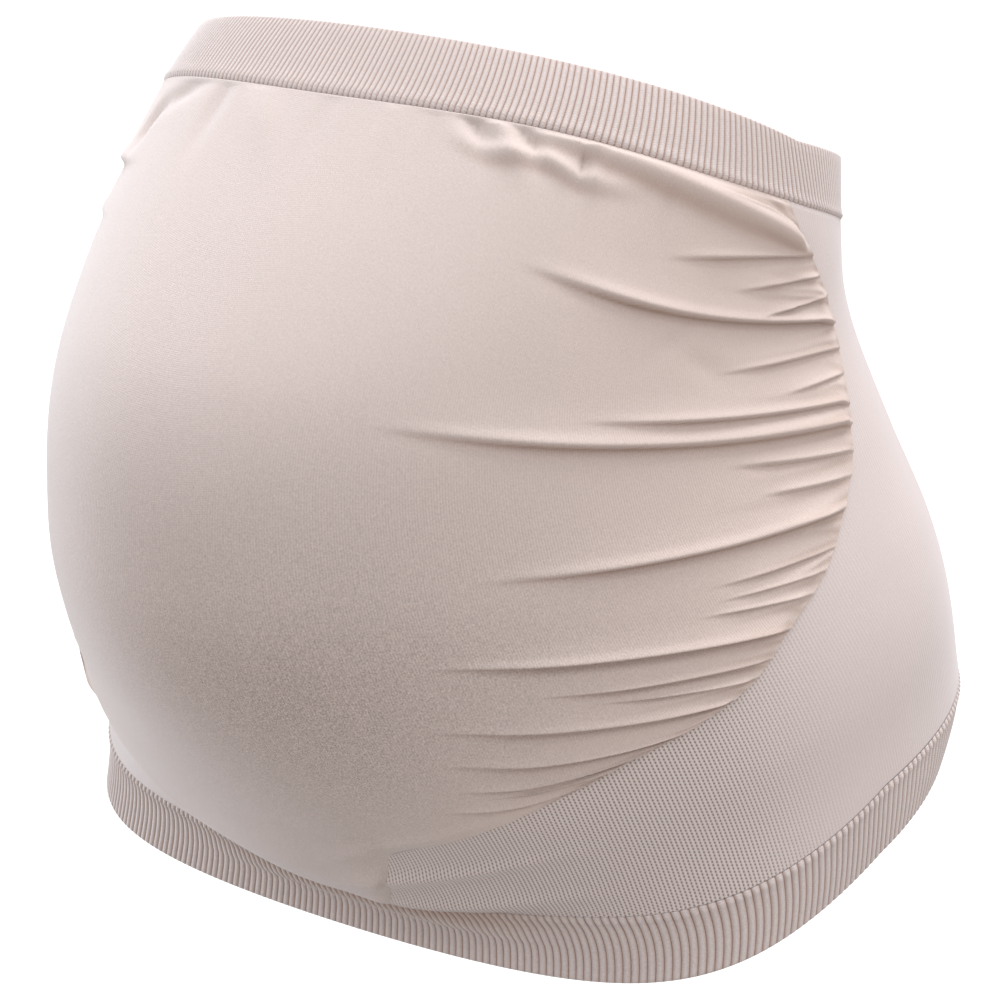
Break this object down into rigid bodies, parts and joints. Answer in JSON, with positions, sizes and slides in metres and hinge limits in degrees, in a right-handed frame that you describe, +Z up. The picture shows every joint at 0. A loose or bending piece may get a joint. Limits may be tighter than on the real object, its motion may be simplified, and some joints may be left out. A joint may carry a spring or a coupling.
{
  "type": "maternity support belt",
  "caption": "Seamless knitted belly band in its worn form, with a gathered belly panel, a support panel and ribbed bands.",
  "frame": {"origin": "on the wearer's upright axis, midway between the widest points of the sides, at the middle of the side height", "axes": "+Z up the wearer's body, -Y the way that the wearer faces, +X the wearer's left"},
  "size_m": [0.3488, 0.3258, 0.3315],
  "materials": {
    "rib_knit": "matt ribbed knit of beige elastic yarn",
    "fine_jersey": "matt fine jersey with upright wales",
    "mesh_knit": "matt mesh knit with small staggered holes"
  },
  "bodies": {
    "root": {"upper_rib_band": "rib_knit", "belly_panel": "fine_jersey", "support_panel": "mesh_knit", "lower_rib_band": "rib_knit"}
  },
  "joints": []
}
